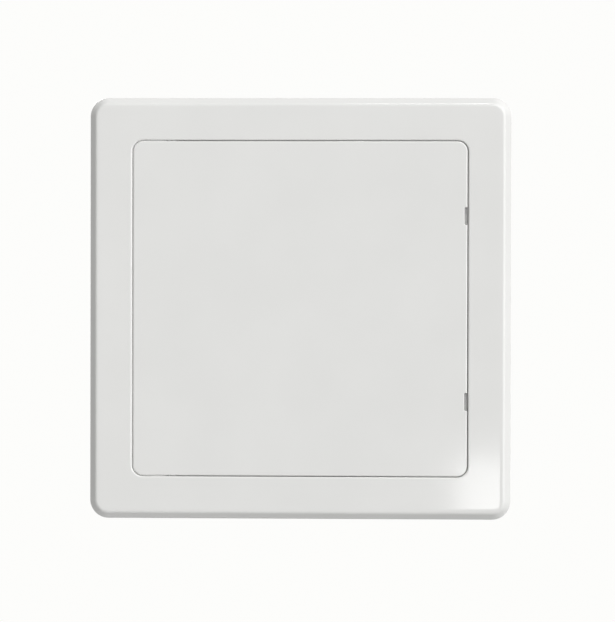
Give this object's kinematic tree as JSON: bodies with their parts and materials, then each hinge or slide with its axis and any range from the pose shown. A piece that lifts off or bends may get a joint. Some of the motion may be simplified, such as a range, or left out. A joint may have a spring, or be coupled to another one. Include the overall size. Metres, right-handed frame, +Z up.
{
  "type": "ceiling access panel",
  "caption": "Square white plastic access panel for a ceiling or wall: bevelled flange with a collar, flush door on concealed hinge pins, and sprung snap latches behind pry notches.",
  "frame": {"origin": "centre of the opening, on the ceiling or wall surface that the flange sits on", "axes": "upright as seen from the room: +X to the right (latch side), +Z up, +Y into the void behind the surface; the face looks along -Y"},
  "size_m": [0.25, 0.0305, 0.25],
  "materials": {
    "white_plastic": "satin moulded white ABS",
    "natural_plastic": "natural acetal, slightly translucent off-white",
    "foam": "light grey closed-cell foam",
    "steel": "bright zinc-plated steel"
  },
  "bodies": {
    "frame": {"frame": "white_plastic", "door_seal": "foam", "hinge_pin_upper": "steel", "hinge_pin_lower": "steel"},
    "door": {"door": "white_plastic", "latch_cover_upper": "natural_plastic", "latch_cover_lower": "natural_plastic", "latch_screws_upper": "steel", "latch_screws_lower": "steel", "latch_spring_upper": "steel", "latch_spring_lower": "steel"},
    "latch_upper": {"latch_bolt_upper": "natural_plastic"},
    "latch_lower": {"latch_bolt_lower": "natural_plastic"}
  },
  "joints": [
    {"name": "door_swing", "type": "hinge", "parent": "frame", "child": "door", "pos_m": [-0.07795, -0.0009, 0], "axis": [0, 0, -1], "range_deg": [0, 120]},
    {"name": "latch_upper_slide", "type": "slide", "parent": "door", "child": "latch_upper", "axis": [-1, 0, 0], "range_m": [0, 0.004], "stiffness_N_per_m": 300, "springref_m": -0.006, "deforming": ["latch_spring_upper"]},
    {"name": "latch_lower_slide", "type": "slide", "parent": "door", "child": "latch_lower", "axis": [-1, 0, 0], "range_m": [0, 0.004], "stiffness_N_per_m": 300, "springref_m": -0.006, "deforming": ["latch_spring_lower"]}
  ]
}
